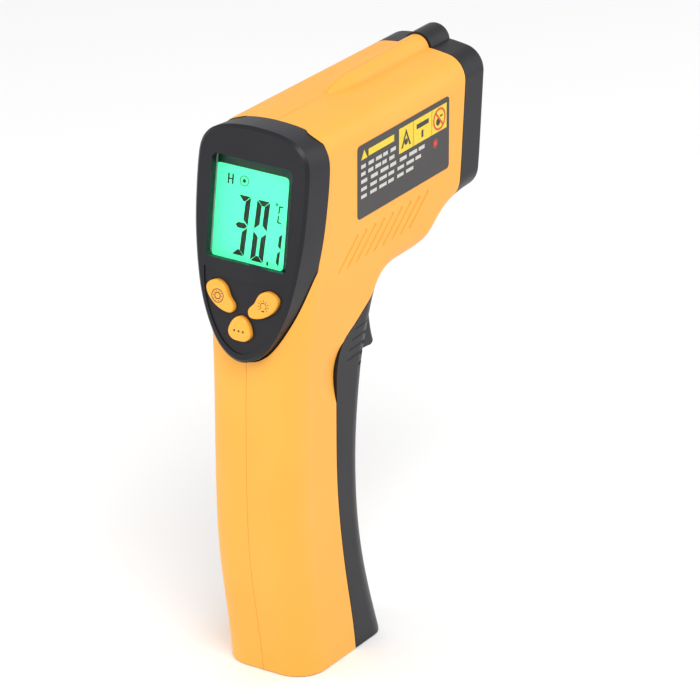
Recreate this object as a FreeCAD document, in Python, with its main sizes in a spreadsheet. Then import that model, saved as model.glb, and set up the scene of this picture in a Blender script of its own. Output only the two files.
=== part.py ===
"""Pistol-grip infrared thermometer, built piece by piece.

Frame: origin at the centre of the flat base of the handle, +X forward out of
the lens, +Y to the left of the person holding it, +Z up.  Millimetres.
"""
import FreeCAD, Part
import Sketcher
import math
import os

V = FreeCAD.Vector
DOC = FreeCAD.newDocument("infrared_thermometer")

# ---------------------------------------------------------------- sizes

SIZES = {
    # outer skin of handle and barrel
    "barrel_top": 163.4,
    "nose_width_share": 0.93,
    "wall": 2.0,
    "rear_round": 9.0,
    "front_round": 7.0,
    "shoulder_round": 7.0,
    "ridge_radius": 4.2,
    "ridge_height": 162.2,
    "seam_gap": 0.3,
    "parting_gap": 0.1,
    # nose
    "nose_seam": 56.7,
    "nose_depth": 11.0,
    "nose_height": 142.0,
    "nose_lean": 0.08,
    "nose_wall": 2.2,
    "nose_round": 1.6,
    "nose_ridge_radius": 4.8,
    "optic_height": 140.5,
    "aperture_radius": 11.0,
    "laser_height": 157.6,
    "laser_hole_radius": 1.8,
    "collar_wall": 1.2,
    # rear bezel
    "face_start": -28.6,
    "face_height": 127.0,
    "face_lean": 7.7,
    "bezel_depth": 10.3,
    "bezel_front": 2.2,
    "bezel_side": 2.0,
    "bezel_chamfer": 0.9,
    "bezel_flare": 0.4,
    "bezel_gap": 0.15,
    "opening_width": 26.2,
    "opening_height": 29.2,
    "opening_centre": 13.8,
    "opening_corner": 1.5,
    "panel_recess": 0.35,
    "post_radius": 1.7,
    # display stack; depths are measured inwards from the bezel face
    "window_width": 28.2,
    "window_height": 31.6,
    "window_thick": 1.2,
    "glass_width": 26.6,
    "glass_height": 30.6,
    "glass_centre": 13.4,
    "glass_thick": 1.8,
    "glass_back": 5.4,
    "guide_height": 27.4,
    "guide_centre": 14.8,
    "guide_thick": 2.2,
    "guide_back": 7.8,
    "carrier_width": 28.0,
    "carrier_height": 32.6,
    "carrier_centre": 13.6,
    "carrier_hole_width": 26.8,
    "carrier_hole_height": 31.4,
    "carrier_thick": 5.2,
    "board_depth": 8.6,
    "board_thick": 1.6,
    "board_margin": 2.5,
    "zebra_width": 24.0,
    "zebra_height": 1.6,
    "zebra_centre": -0.8,
    "zebra_thick": 3.2,
    # buttons and their switches
    "button_gap": 0.25,
    "button_proud": 1.1,
    "button_round": 0.6,
    "button_web": 0.8,
    "stem_radius": 1.4,
    "plunger_radius": 1.1,
    "plunger_length": 2.4,
    "plunger_depth": 5.0,
    "plunger_gap": 0.06,
    "switch_side": 4.6,
    "switch_thick": 2.8,
    # optics
    "funnel_front": 63.8,
    "funnel_back": 46.0,
    "funnel_mouth": 10.7,
    "funnel_throat": 5.6,
    "lens_radius": 7.0,
    "lens_thick": 1.2,
    "can_radius": 4.6,
    "can_length": 6.0,
    "sensor_board_side": 24.0,
    "sensor_board_thick": 1.2,
    "sensor_board_x": 34.8,
    "laser_radius": 3.0,
    "laser_length": 12.0,
    "laser_x": 52.0,
    # trigger
    "pivot_x": 13.4,
    "pivot_z": 104.0,
    "pivot_radius": 1.2,
    "pivot_length": 12.8,
    "trigger_half": 6.6,
    "slot_half": 7.1,
    "slot_bottom": 82.0,
    "lug_half": 3.8,
    "lug_radius": 2.8,
    "spring_height": 94.2,
    "spring_radius": 2.0,
    "spring_wire": 0.3,
    "trigger_board_x": -4.4,
    "trigger_board_thick": 1.6,
    "trigger_board_width": 19.0,
    "trigger_board_height": 18.0,
    "trigger_board_middle": 93.0,
    "micro_switch_height": 88.2,
    # battery door
    "hinge_x": 15.4,
    "hinge_z": 4.4,
    "hinge_radius": 1.0,
    "hinge_gap": 0.05,
    "hinge_length": 23.0,
    "knuckle_radius": 2.5,
    "ear_half": 6.8,
    # cells and tray
    "cell_radius": 5.2,
    "cell_length": 43.5,
    "nub_radius": 1.9,
    "nub_length": 1.0,
    "cell_y": 5.4,
    "cell_x": -0.4,
    "tray_bottom": 23.6,
    "tray_height": 53.6,
    "tray_wall": 1.2,
    "tray_back": -8.2,
    "tray_depth": 10.4,
    "tray_width": 23.8,
    "contact_spring_height": 5.0,
    "contact_wire": 0.4,
    "plate_thick": 0.5,
    "lead_radius": 0.6,
    # screws
    "screw_radius": 1.1,
    "screw_length": 17.0,
    "screw_head_radius": 2.3,
    "screw_head": 1.6,
    "boss_radius": 3.0,
    # side label and grip marks
    "label_thick": 0.15,
    "groove_depth": 0.2,
}

SHEET = DOC.addObject("Spreadsheet::Sheet", "Sizes")
for row, (alias, value) in enumerate(SIZES.items(), start=1):
    SHEET.set("A%d" % row, alias.replace("_", " "))
    SHEET.set("B%d" % row, str(value))
    SHEET.setAlias("B%d" % row, alias)
DOC.recompute()


def size(alias):
    """Read one driving size from the sheet."""
    return float(getattr(SHEET, alias))


# Outlines of the side view, as (x, z) points.
HANDLE_REAR = [(-21.4, 0.0), (-24.6, 18.5), (-27.4, 34.3), (-28.9, 53.0),
               (-29.1, 75.0), (-28.8, 92.0), (-28.0, 108.0),
               (-26.0, 126.0), (-23.2, 146.0), (-19.6, 172.0)]
HANDLE_FRONT = [(21.4, 0.0), (16.9, 12.5), (13.1, 25.0), (10.6, 37.0),
                (9.2, 52.0), (9.3, 66.0), (10.6, 80.0), (12.4, 91.5),
                (15.2, 103.0), (17.2, 108.3), (21.0, 110.9)]
UNDERSIDE = [(21.0, 110.9), (29.0, 111.1), (37.5, 111.4), (41.9, 112.4),
             (45.6, 114.8), (49.4, 117.5), (53.8, 119.3), (59.0, 120.2),
             (66.0, 120.6), (72.0, 120.8)]
DOOR_SEAM = [(4.5, 0.0), (2.0, 11.2), (-1.0, 25.1), (-3.5, 39.4),
             (-5.2, 54.7), (-5.7, 69.3), (-6.0, 83.9), (-5.9, 91.0),
             (-3.6, 97.2), (1.9, 101.0), (8.2, 105.3), (13.6, 109.0)]
# Half of the front view, as (y, z) points.
HALF_WIDTHS = [(15.0, -4.0), (15.0, 20.0), (14.8, 50.0), (14.9, 80.0),
               (15.5, 98.0), (16.7, 113.0), (17.4, 125.0), (17.6, 134.0)]
# Half of the bezel outline on its own face, as (sideways, up) points.
BEZEL_HALF = [(5.0, 37.6), (11.0, 36.5), (15.2, 34.3), (17.4, 31.0),
              (18.1, 26.5), (18.1, 17.0), (17.7, 8.8), (16.9, 1.7),
              (15.7, -5.5), (13.6, -13.4), (10.7, -20.0), (6.4, -25.9)]
BEZEL_TOP = (0.0, 37.8)
BEZEL_TIP = (0.0, -28.7)
SIDE_BUTTON = [(11.7, -8.9), (11.0, -11.1), (8.8, -13.4), (5.4, -14.9),
               (2.8, -14.6), (2.4, -12.9), (4.0, -10.8), (5.3, -8.3),
               (7.3, -6.8), (10.3, -7.1)]
MODE_BUTTON = [(0.0, -15.3), (2.0, -16.2), (3.3, -18.3), (3.6, -20.4),
               (2.4, -21.9), (0.0, -22.3), (-2.4, -21.9), (-3.6, -20.4),
               (-3.3, -18.3), (-2.0, -16.2)]
PANEL_HALF = [(13.4, -3.6), (13.0, -8.0), (11.5, -14.0), (8.6, -19.8),
              (4.6, -24.4)]


# ---------------------------------------------------------------- curves

def spline(points, closed=False):
    """A smooth curve through the given points."""
    curve = Part.BSplineCurve()
    if closed:
        curve.interpolate(Points=points, PeriodicFlag=True)
    else:
        curve.interpolate(points)
    return curve


def shifted(points, distance, closed=False):
    """The (a, b) points moved sideways along the curve's own normal.

    A positive distance moves to the right of the walking direction.
    """
    curve = spline([V(a, b, 0) for a, b in points], closed)
    moved = []
    for a, b in points:
        tangent = curve.tangent(curve.parameter(V(a, b, 0)))[0]
        moved.append((a + tangent.y * distance, b - tangent.x * distance))
    return moved


def loop(points, distance=0.0):
    """Closed smooth wire on the local XY plane; clockwise points shrink
    with a positive distance."""
    moved = shifted(points, distance, closed=True) if distance else points
    return Part.Wire(spline([V(a, b, 0) for a, b in moved], True).toShape())


def raised(wire, height):
    """A copy of the wire lifted along local Z."""
    copy = wire.copy()
    copy.translate(V(0, 0, height))
    return copy


def prism(wire, start, end):
    """Solid between two heights above the same outline."""
    return Part.Face(raised(wire, start)).extrude(V(0, 0, end - start))


def mirrored(points):
    return [(-a, b) for a, b in reversed(points)]


def bezel_outline():
    """Clockwise outline of the bezel, from the top centre."""
    return [BEZEL_TOP] + BEZEL_HALF + [BEZEL_TIP] + mirrored(BEZEL_HALF)


def box(x0, x1, y0, y1, z0, z1):
    return Part.makeBox(x1 - x0, y1 - y0, z1 - z0, V(x0, y0, z0))


def cylinder_y(x, z, radius, y0, y1):
    return Part.makeCylinder(radius, y1 - y0, V(x, y0, z), V(0, 1, 0))


def cylinder_x(y, z, radius, x0, x1):
    return Part.makeCylinder(radius, x1 - x0, V(x0, y, z), V(1, 0, 0))


def face_frame():
    """Placement of the bezel face: local X to the right of the reader,
    local Y up along the face, local Z out towards the reader."""
    lean = math.radians(size("face_lean"))
    s, c = math.sin(lean), math.cos(lean)
    matrix = FreeCAD.Matrix(0, s, -c, size("face_start"),
                            -1, 0, 0, 0,
                            0, c, s, size("face_height"),
                            0, 0, 0, 1)
    return FreeCAD.Placement(matrix)


def in_face_frame(shape):
    """The shape carried from the bezel's local frame to its real place."""
    moved = shape.copy()
    moved.transformShape(face_frame().Matrix)
    return moved


# ---------------------------------------------------------------- outer skin

def side_profile(inset):
    """Face in the XZ plane that bounds handle and barrel."""
    rear = shifted(HANDLE_REAR, inset)
    front = shifted(HANDLE_FRONT[:-1], -inset)
    under = shifted(UNDERSIDE[1:], -inset)
    base = inset

    rear_curve = spline([V(x, 0, z) for x, z in [(rear[0][0], base)] + rear[1:]])
    front_curve = spline([V(x, 0, z) for x, z in [(front[0][0], base)] + front[1:] + under])
    first, last = rear_curve.StartPoint, rear_curve.EndPoint
    low, nose = front_curve.StartPoint, front_curve.EndPoint
    corners = [nose, V(nose.x, 0, last.z), last]
    edges = [Part.LineSegment(first, low).toShape(), front_curve.toShape()]
    edges += [Part.LineSegment(a, b).toShape() for a, b in zip(corners, corners[1:])]
    edges.append(rear_curve.toShape())
    return Part.Face(Part.Wire(Part.__sortEdges__(edges)))


def width_section(inset, share, x):
    """Closed section across the body at station x, with a flat high top."""
    side = [V(x, y * share - inset, z) for y, z in HALF_WIDTHS]
    other = [V(x, -p.y, p.z) for p in side]
    high = 180.0
    corners = [side[-1], V(x, side[-1].y, high), V(x, -side[-1].y, high), other[-1]]
    edges = [spline(side).toShape()]
    edges += [Part.LineSegment(a, b).toShape() for a, b in zip(corners, corners[1:])]
    edges.append(spline(other).toShape())
    edges.append(Part.LineSegment(other[0], side[0]).toShape())
    return Part.Wire(Part.__sortEdges__(edges))


def crown_prism(inset):
    """Everything under the slightly arched top of the barrel."""
    top = size("barrel_top") - inset
    left, right = V(-60, 24, top - 4.4), V(-60, -24, top - 4.4)
    arch = Part.Arc(left, V(-60, 0, top), right).toShape()
    low = [right, V(-60, -24, -20), V(-60, 24, -20), left]
    sides = [Part.LineSegment(a, b).toShape() for a, b in zip(low, low[1:])]
    return Part.Face(Part.Wire([arch] + sides)).extrude(V(150, 0, 0))


def is_lengthwise(edge):
    """True for the long lower edges that run from base to nose."""
    return edge.BoundBox.ZMin < 3.0 and edge.BoundBox.ZMax > 100.0


def is_shoulder(edge):
    """True for the two long edges between the sides and the top."""
    return edge.BoundBox.ZMin > 150.0 and edge.BoundBox.XLength > 60.0


SKINS = {}


def outer_skin(inset):
    """Handle and barrel as one solid, shrunk all round by the inset."""
    if inset not in SKINS:
        SKINS[inset] = build_skin(inset)
    return SKINS[inset].copy()


def build_skin(inset):
    share = size("nose_width_share")
    widths = Part.makeLoft([width_section(inset, 1.0, -40.0),
                            width_section(inset, share, 75.0)], True, True)
    plate = side_profile(inset)
    plate.translate(V(0, -25, 0))
    body = widths.common(plate.extrude(V(0, 50, 0)))
    front = [e for e in body.Edges if is_lengthwise(e) and e.BoundBox.XMax > 60.0]
    rear = [e for e in body.Edges if is_lengthwise(e) and e.BoundBox.XMax < 0.0]
    body = body.makeFillet(size("front_round") - inset, front)
    body = body.makeFillet(size("rear_round") - inset, rear)
    body = body.common(crown_prism(inset))
    top = [e for e in body.Edges if is_shoulder(e)]
    body = body.makeFillet(size("shoulder_round") - inset, top)
    return body.Solids[0]



def nose_slab(start, end):
    """Leaning slice across the nose; both ends count from the seam plane."""
    def at(offset, z):
        lean = size("nose_lean") * (z - size("nose_height"))
        return V(size("nose_seam") + offset + lean, -30, z)

    corners = [at(start, 90), at(end, 90), at(end, 190), at(start, 190), at(start, 90)]
    return Part.Face(Part.makePolygon(corners)).extrude(V(0, 60, 0))


def top_ridge(radius):
    """Raised spine along the top of the barrel, tapering out at the rear."""
    start = size("ridge_height")
    share = radius / size("ridge_radius")
    outline = [V(10.5, 0, start), V(12.5, 0, start + 2.0 * share),
               V(19.0, 0, start + 3.5 * share), V(32.0, 0, start + radius)]
    spine = Part.BSplineCurve()
    spine.interpolate(Points=outline, InitialTangent=V(0.6, 0, 1), FinalTangent=V(1, 0, 0))
    curve = spine.toShape()
    ends = [V(75, 0, start + radius), V(75, 0, start)]
    lines = Part.makePolygon([outline[-1]] + ends + [outline[0]]).Edges
    return Part.Face(Part.Wire([curve] + lines)).revolve(V(0, 0, start), V(1, 0, 0), 360)


def door_region(gap):
    """Everything ahead of the seam between the yellow case and the door."""
    seam = shifted(DOOR_SEAM, gap)
    seam[0] = (seam[0][0], -5.0)
    curve = spline([V(x, -25, z) for x, z in seam])
    last = curve.EndPoint
    corners = [last, V(60, -25, last.z), V(60, -25, -5), curve.StartPoint]
    edges = [curve.toShape()] + Part.makePolygon(corners).Edges
    return Part.Face(Part.Wire(Part.__sortEdges__(edges))).extrude(V(0, 50, 0))


def bezel_envelope(gap):
    """Solid block that the bezel fills, grown by the gap."""
    outline = bezel_outline()
    wire = loop(outline, -size("bezel_flare") - gap)
    return in_face_frame(prism(wire, -size("bezel_depth") - gap, 30.0))


# ---------------------------------------------------------------- case

CASE_SCREWS = [(-10.5, 13.0), (-16.0, 88.0), (10.0, 120.0), (46.0, 124.4), (22.0, 154.5)]
BOARD_POSTS = [(-9.5, 32.2), (9.5, 32.2), (-12.4, -5.2), (12.4, -5.2)]


def grip_grooves():
    """Nine slanted shallow grooves on each side, under the label."""
    bars = []
    for index in range(9):
        bar = box(-0.5, 0.5, -30, 30, -6.4, 6.2)
        bar.rotate(V(0, 0, 0), V(0, 1, 0), 49)
        bar.translate(V(-3.5 + 4.6 * index, 0, 124.6 + 0.1 * index))
        bars.append(bar)
    return bars[0].multiFuse(bars[1:]).cut(outer_skin(size("groove_depth")))


def thumb_scoops():
    """Shallow round hollows beside the door, one on each side."""
    radius = 34.0
    reach = radius + 14.55 - 0.9
    return [Part.makeSphere(radius, V(-5.5, side * reach, 88.0)) for side in (-1, 1)]


def screw_bosses():
    """Round posts across the case, bored for the case screws."""
    posts = []
    for x, z in CASE_SCREWS:
        seat = screw_seat_y(x, z)
        post = cylinder_y(x, z, size("boss_radius"), -20, 20)
        post = post.cut(cylinder_y(x, z, size("screw_radius") + 0.25, 0, 25))
        post = post.cut(cylinder_y(x, z, size("screw_radius"), seat - size("screw_length"), 0.01))
        posts.append(post)
    return posts


def case_ribs():
    """Flat ribs that hold the tray and the two small boards."""
    tray_side = size("tray_width") / 2
    board_back = size("trigger_board_x")
    sensor_back = size("sensor_board_x")
    ribs = []
    for sign in (-1, 1):
        for z in (32.0, 66.0):
            ribs.append((-7.8, -6.6, sign * tray_side, sign * 14.5, z, z + 5.0))
        ribs.append((board_back - 1.5, board_back, sign * 8.0, sign * 15.5, 86.0, 100.0))
        ribs.append((sensor_back - 1.6, sensor_back, sign * 10.0, sign * 17.0, 133.0, 148.0))
    return [box(a, b, min(c, d), max(c, d), e, f) for a, b, c, d, e, f in ribs]


def trigger_lug():
    """Hanging lug that carries the trigger pin."""
    half = size("lug_half")
    x, z, radius = size("pivot_x"), size("pivot_z"), size("lug_radius")
    stem = box(x - radius, x + radius, -half, half, z, 113.5)
    return stem.fuse(cylinder_y(x, z, radius, -half, half))


def hinge_ears():
    """Floor inside the door, with a raised arm to the ear of the hinge pin."""
    half = size("ear_half")
    x, z, radius = size("hinge_x"), size("hinge_z"), size("knuckle_radius")
    floor = box(-2.0, 11.2, -12.2, 12.2, 0.4, 2.6)
    riser = box(8.4, 11.2, -half, half, 0.4, z + 1.6)
    arm = box(8.4, x, -half, half, z - 0.6, z + 1.6)
    return floor.multiFuse([riser, arm, cylinder_y(x, z, radius, -half, half)])


def whole_case():
    """Both yellow halves still joined at the parting plane."""
    wall = size("wall")
    skin = outer_skin(0.0).fuse(top_ridge(size("ridge_radius")))
    hollow = outer_skin(wall).fuse(top_ridge(size("ridge_radius") - wall))
    shell = skin.cut(hollow)
    inner = outer_skin(wall / 2)
    fittings = []
    for part in screw_bosses() + case_ribs():
        fittings.append(part.common(inner))
    shell = shell.multiFuse(fittings)
    shell = shell.cut(door_region(0.0))
    shell = shell.multiFuse([trigger_lug(), hinge_ears()])
    cutters = [bezel_envelope(size("bezel_gap")), nose_slab(-size("bezel_gap"), 40.0)]
    cutters += [grip_grooves()] + thumb_scoops()
    cutters.append(cylinder_y(size("pivot_x"), size("pivot_z"), size("pivot_radius"), -9, 9))
    cutters.append(cylinder_y(size("hinge_x"), size("hinge_z"),
                              size("hinge_radius") + size("hinge_gap"), -9, 9))
    for x, z in CASE_SCREWS:
        cutters.append(cylinder_y(x, z, size("screw_head_radius") + 0.3, screw_seat_y(x, z), 25))
    for cutter in cutters:
        shell = shell.cut(cutter)
    return shell


def side_y(x, z):
    """Half width of the outer skin at a station, away from its rounded edges."""
    share = 1.0 - (1.0 - size("nose_width_share")) * (x + 40.0) / 115.0
    below = [p for p in HALF_WIDTHS if p[1] <= z][-1]
    above = [p for p in HALF_WIDTHS if p[1] > z] or [below]
    rise = (z - below[1]) / max(above[0][1] - below[1], 1.0)
    return share * (below[0] + (above[0][0] - below[0]) * rise)


def screw_seat_y(x, z):
    """Where a screw head sits, below the left side of the case."""
    return side_y(x, z) - size("screw_head") - 1.0


def half_case(case, side):
    """One half: side +1 is the left one, -1 the right one."""
    gap = size("parting_gap") / 2
    if side > 0:
        keep = box(-60, 80, gap, 40, -10, 190)
    else:
        keep = box(-60, 80, -40, -gap, -10, 190)
    pieces = case.common(keep).Solids
    half = max(pieces, key=lambda solid: solid.Volume)
    return half


# ---------------------------------------------------------------- skin pieces

def bezel():
    """Black rear cap with the display opening and the button holes."""
    outline = bezel_outline()
    depth, chamfer = size("bezel_depth"), size("bezel_chamfer")
    rim = raised(loop(outline), -chamfer)
    lip = Part.makeLoft([loop(outline, chamfer), rim], True, True)
    back = raised(loop(outline, -size("bezel_flare")), -depth)
    cap = lip.fuse(Part.makeLoft([rim, back], True, True))
    cap = cap.cut(prism(loop(outline, size("bezel_side")), -depth - 1, -size("bezel_front")))
    for x, y in BOARD_POSTS:
        post = Part.makeCylinder(size("post_radius"), size("board_depth") - 1.0,
                                 V(x, y, -size("board_depth")))
        post = post.cut(Part.makeCylinder(0.8, 5.0, V(x, y, -size("board_depth"))))
        cap = cap.fuse(post)
    cap = cap.cut(display_opening())
    for points in (SIDE_BUTTON, mirrored(SIDE_BUTTON), MODE_BUTTON):
        cap = cap.cut(prism(loop(points, -size("button_gap")), -4.0, 2.0))
    cap = cap.cut(keypad_panel())
    return in_face_frame(cap.Solids[0])


def display_opening():
    """Rounded rectangle through the bezel's front wall."""
    width, height = size("opening_width"), size("opening_height")
    low = size("opening_centre") - height / 2
    block = Part.makeBox(width, height, 6.0, V(-width / 2, low, -4.0))
    corners = [e for e in block.Edges if e.BoundBox.ZLength > 5.0]
    return block.makeFillet(size("opening_corner"), corners)


def keypad_panel():
    """Shield-shaped shallow recess around the three buttons."""
    side = PANEL_HALF + [(0.0, -26.2)] + mirrored(PANEL_HALF)
    lower = spline([V(a, b, 0) for a, b in side])
    start, end = lower.StartPoint, lower.EndPoint
    upper = Part.Arc(end, V(0, end.y - 2.2, 0), start).toShape()
    return prism(Part.Wire([lower.toShape(), upper]), -size("panel_recess"), 2.0)


def button(points, tab):
    """Domed key with a stem for its switch and a tab behind the bezel."""
    wire = loop(points)
    key = prism(wire, -size("bezel_front") - 0.2, size("button_proud"))
    rim = [e for e in key.Edges if e.BoundBox.ZMin > size("button_proud") - 0.01]
    key = key.makeFillet(size("button_round"), rim)
    x, y = button_centre(points)
    start = -size("plunger_depth")
    stem = Part.makeCylinder(size("stem_radius"), -start - 1.0, V(x, y, start))
    reach, rise, width, height = tab
    back = -size("bezel_front") - 0.2 - size("button_web")
    plate = Part.makeBox(width, height, size("button_web"), V(reach, rise, back))
    disc = prism(loop(points, 0.3), back, -size("bezel_front") + 0.4)
    return in_face_frame(key.multiFuse([stem, plate, disc]).Solids[0])


def button_centre(points):
    count = float(len(points))
    return sum(p[0] for p in points) / count, sum(p[1] for p in points) / count


def nose_cap():
    """Black front cap with collars for the funnel and the pointer."""
    body = outer_skin(0.0).fuse(top_ridge(size("nose_ridge_radius")))
    body = body.common(nose_slab(size("bezel_gap"), size("nose_depth"))).Solids[0]
    front = [e for e in body.Edges if lies_on_nose_front(e)]
    body = body.makeFillet(size("nose_round"), front)
    wall = size("nose_wall")
    hollow = outer_skin(wall).common(nose_slab(-5.0, size("nose_depth") - wall))
    body = body.cut(hollow)
    optic, laser = size("optic_height"), size("laser_height")
    inner_front = nose_slab(-5.0, size("nose_depth") - wall + 0.5)
    for z, radius in ((optic, size("aperture_radius")), (laser, size("laser_radius") + 0.05)):
        ring = cylinder_x(0, z, radius + size("collar_wall"), 58.6, 72.0).common(inner_front)
        body = body.fuse(ring.cut(cylinder_x(0, z, radius, 50.0, 75.0)))
    body = body.cut(cylinder_x(0, optic, size("aperture_radius"), 50.0, 75.0))
    body = body.cut(cylinder_x(0, laser, size("laser_hole_radius"), 50.0, 75.0))
    return body.cut(cylinder_x(0, laser, size("laser_radius") + 0.05, 50.0, 64.6)).Solids[0]


def lies_on_nose_front(edge):
    """True for edges in the leaning front plane of the nose."""
    ends = [edge.valueAt(edge.FirstParameter), edge.valueAt(edge.LastParameter),
            edge.valueAt((edge.FirstParameter + edge.LastParameter) / 2)]
    plane = size("nose_seam") + size("nose_depth")
    gaps = [p.x - plane - size("nose_lean") * (p.z - size("nose_height")) for p in ends]
    return max(abs(gap) for gap in gaps) < 0.02


def battery_door():
    """Black front of the handle: a channel with a slot for the trigger."""
    region = door_region(size("seam_gap")).common(box(-30, 40, -30, 30, -6, 109.6))
    half, liner = size("slot_half"), size("slot_half") + 1.2
    x, z, radius = size("hinge_x"), size("hinge_z"), size("knuckle_radius")
    slot = box(-20, 40, -half, half, size("slot_bottom"), 120)
    lined = box(2.5, 40, -liner, liner, size("slot_bottom") - 1.2, 120)
    lining = lined.common(outer_skin(0.5)).cut(slot).common(region)
    door = outer_skin(0.0).cut(outer_skin(size("wall"))).common(region)
    door = door.cut(slot).fuse(lining)
    door = door.cut(box(-10, x + 0.4, -12.9, 12.9, -1, 3.2))
    keep = size("ear_half") + 0.3
    for sign in (-1, 1):
        inner, outer = sorted((sign * keep, sign * 13.4))
        knuckle = cylinder_y(x, z, radius, inner, outer)
        web = box(x, x + 3.4, inner, outer, z - 1.6, z + 1.6)
        door = door.fuse(knuckle.fuse(web).common(outer_skin(0.6)))
    door = door.cut(cylinder_y(x, z, radius + 0.3, -keep, keep))
    door = door.cut(box(-10, x, -keep, keep, 0, z + radius))
    swing = cylinder_y(x, z, z + 0.2, -30, 30)
    door = door.cut(box(x, 40, -30, 30, -6, z).cut(swing))
    reach = size("hinge_length") / 2
    door = door.cut(cylinder_y(x, z, size("hinge_radius"), -reach, reach))
    return max(door.cut(rib_grooves()).Solids, key=lambda solid: solid.Volume)


def rib_grooves():
    """Four level finger grooves on each side of the door's shoulder."""
    bars = []
    for index in range(4):
        bar = box(-4.8, 4.8, -30, 30, -0.45, 0.45)
        bar.rotate(V(0, 0, 0), V(0, 1, 0), -4)
        bar.translate(V(13.0 - 0.9 * index, 0, 96.6 - 2.85 * index))
        bars.append(bar)
    return bars[0].multiFuse(bars[1:]).cut(outer_skin(0.5))


def trigger():
    """Finger lever with a hollow back for the lug and a seat for its spring."""
    px, pz = size("pivot_x"), size("pivot_z")
    front = [V(21.6, 0, 109.4), V(24.6, 0, 104.5), V(24.2, 0, 98.0),
             V(24.8, 0, 92.0), V(26.0, 0, 87.6)]
    edges = [spline(front).toShape()]
    tip = Part.Arc(front[-1], V(25.0, 0, 85.6), V(23.0, 0, 85.3)).toShape()
    rear = [V(23.0, 0, 85.3), V(9.2, 0, 86.4), V(8.6, 0, 98.6), V(9.4, 0, 106.4),
            V(14.0, 0, 108.5), V(18.8, 0, 108.6), front[0]]
    edges += [tip] + Part.makePolygon(rear).Edges
    half = size("trigger_half")
    plate = Part.Face(Part.Wire(edges))
    plate.translate(V(0, -half, 0))
    body = plate.extrude(V(0, 2 * half, 0))
    rim = [e for e in body.Edges if e.BoundBox.XMin > 21.0 and e.BoundBox.ZLength > 12.0]
    body = body.makeFillet(1.8, rim)
    pocket = size("lug_half") + 0.35
    body = body.cut(box(px - 3.7, px + 4.6, -pocket, pocket, 99.8, 120))
    body = body.cut(cylinder_y(px, pz, size("lug_radius") + 1.6, -pocket, pocket))
    body = body.cut(box(px - 8, px - 2, -pocket, pocket, 99.8, 120))
    body = body.cut(box(11.2, 21.6, -pocket, pocket, 87.2, 98.0))
    bore = size("pivot_radius") + size("hinge_gap")
    body = body.cut(cylinder_y(px, pz, bore, -half - 1, half + 1))
    post = cylinder_x(0, size("micro_switch_height"), 1.3, 4.2, 9.6)
    return body.fuse(post).Solids[0]


def side_label():
    """Thin label that follows the right-hand side of the barrel."""
    patch = box(0.9, 48.8, -25, 0, 132.9, 154.4)
    corners = [e for e in patch.Edges if e.BoundBox.YLength > 20.0]
    patch = patch.makeFillet(1.2, corners)
    return patch.common(outer_skin(-size("label_thick"))).cut(outer_skin(0.0)).Solids[0]


# ---------------------------------------------------------------- inner pieces

def main_board():
    """Circuit board that follows the inside of the bezel."""
    wire = loop(bezel_outline(), size("board_margin"))
    back = -size("board_depth") - size("board_thick")
    board = prism(wire, back, -size("board_depth"))
    for x, y in BOARD_POSTS:
        board = board.cut(Part.makeCylinder(1.05, 4.0, V(x, y, back - 1)))
    return in_face_frame(board)


def button_switches():
    """Three small push switches on the main board."""
    side, high = size("switch_side"), size("switch_thick")
    bodies = []
    for points in (SIDE_BUTTON, mirrored(SIDE_BUTTON), MODE_BUTTON):
        x, y = button_centre(points)
        base = -size("board_depth")
        body = Part.makeBox(side, side, high, V(x - side / 2, y - side / 2, base))
        bore = size("plunger_radius") + size("plunger_gap")
        bodies.append(body.cut(Part.makeCylinder(bore, 3.0, V(x, y, base + 0.4))))
    return in_face_frame(Part.makeCompound(bodies))


def board_screws():
    """Four small screws that hold the main board to the bezel posts."""
    back = -size("board_depth") - size("board_thick")
    screws = []
    for x, y in BOARD_POSTS:
        head = Part.makeCylinder(1.6, 1.0, V(x, y, back - 1.0))
        shank = Part.makeCylinder(0.8, 5.2, V(x, y, back - 0.5))
        slot = Part.makeBox(0.4, 2.2, 0.5, V(x - 0.2, y - 1.1, back - 1.0))
        cross = Part.makeBox(2.2, 0.4, 0.5, V(x - 1.1, y - 0.2, back - 1.0))
        screws.append(head.fuse(shank).cut(slot).cut(cross))
    return in_face_frame(Part.makeCompound(screws))


def case_screws():
    """Five identical screws let into the left side of the case."""
    screws = []
    for x, z in CASE_SCREWS:
        seat = screw_seat_y(x, z)
        top = seat + size("screw_head")
        head = cylinder_y(x, z, size("screw_head_radius"), seat, top)
        rim = [e for e in head.Edges if e.BoundBox.YMin > top - 0.01]
        head = head.makeFillet(0.4, rim)
        shank = cylinder_y(x, z, size("screw_radius"), seat - size("screw_length") + 0.5, seat + 0.5)
        cross = box(x - 1.3, x + 1.3, top - 0.8, top + 1, z - 0.3, z + 0.3)
        cross = cross.fuse(box(x - 0.3, x + 0.3, top - 0.8, top + 1, z - 1.3, z + 1.3))
        screws.append(head.fuse(shank).cut(cross))
    return Part.makeCompound(screws)


def battery_tray():
    """Open-fronted box that holds the two cells upright."""
    x0, z0 = size("tray_back"), size("tray_bottom")
    depth, width, height = size("tray_depth"), size("tray_width"), size("tray_height")
    wall = size("tray_wall")
    tray = box(x0, x0 + depth, -width / 2, width / 2, z0, z0 + height)
    tray = tray.cut(box(x0 + wall, x0 + depth + 1, -width / 2 + 0.9, width / 2 - 0.9,
                        z0 + wall, z0 + height - wall))
    return tray


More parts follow.
